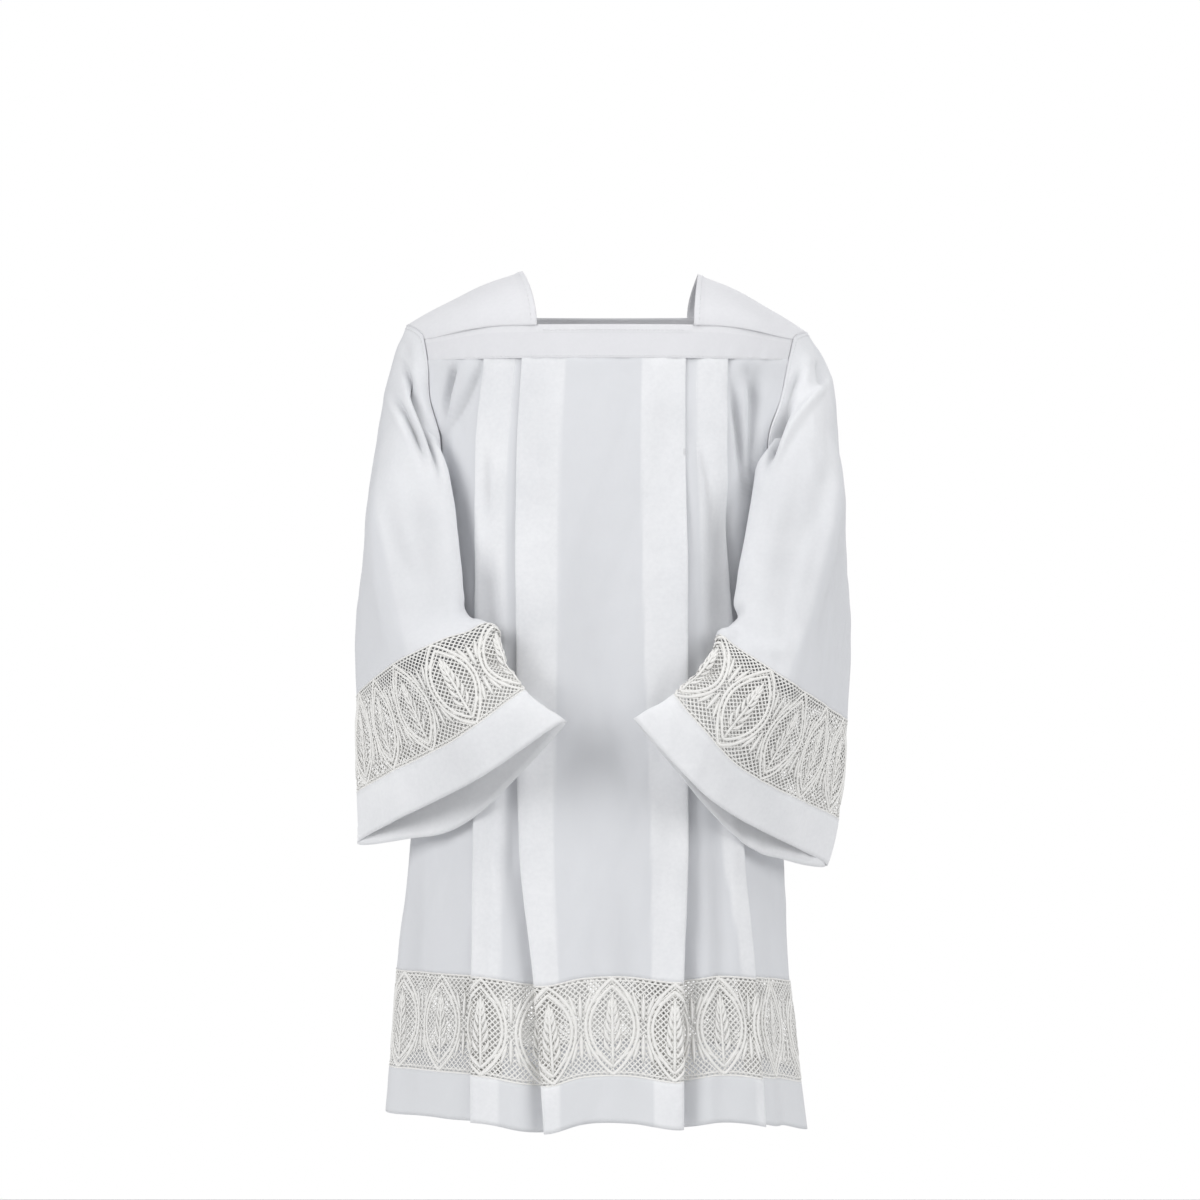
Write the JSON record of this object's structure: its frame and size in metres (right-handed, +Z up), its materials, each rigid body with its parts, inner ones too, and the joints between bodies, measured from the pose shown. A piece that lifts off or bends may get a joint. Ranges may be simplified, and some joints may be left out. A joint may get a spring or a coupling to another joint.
{
  "type": "surplice",
  "caption": "White square-necked surplice with pleated body, wide sleeves and openwork lace bands at cuffs and hem, in the hollow form of a standing wearer with bent arms",
  "frame": {"origin": "midway between the neck-side tops of the two shoulders, where the wearer's shoulders hold the garment up", "axes": "+Z up, -Y the wearer's front, +X the wearer's left"},
  "size_m": [0.523, 0.3714, 0.895],
  "materials": {
    "body_cloth": "smooth plain-weave poly-cotton, cool white, matt, slightly translucent where single",
    "yoke_cloth": "the same cloth, doubled, a little whiter",
    "band_cloth": "the same cloth, folded double at hem and cuffs",
    "lace": "heavy white openwork lace, slightly creamier than the cloth"
  },
  "bodies": {
    "root": {"yoke_front": "yoke_cloth", "panel_front": "body_cloth", "hem_lace_front": "lace", "hem_band_front": "band_cloth", "yoke_back": "yoke_cloth", "panel_back": "body_cloth", "hem_lace_back": "lace", "hem_band_back": "band_cloth", "shoulder_left": "yoke_cloth", "sleeve_left": "body_cloth", "cuff_lace_left": "lace", "cuff_band_left": "band_cloth", "shoulder_right": "yoke_cloth", "sleeve_right": "body_cloth", "cuff_lace_right": "lace", "cuff_band_right": "band_cloth"}
  },
  "joints": []
}
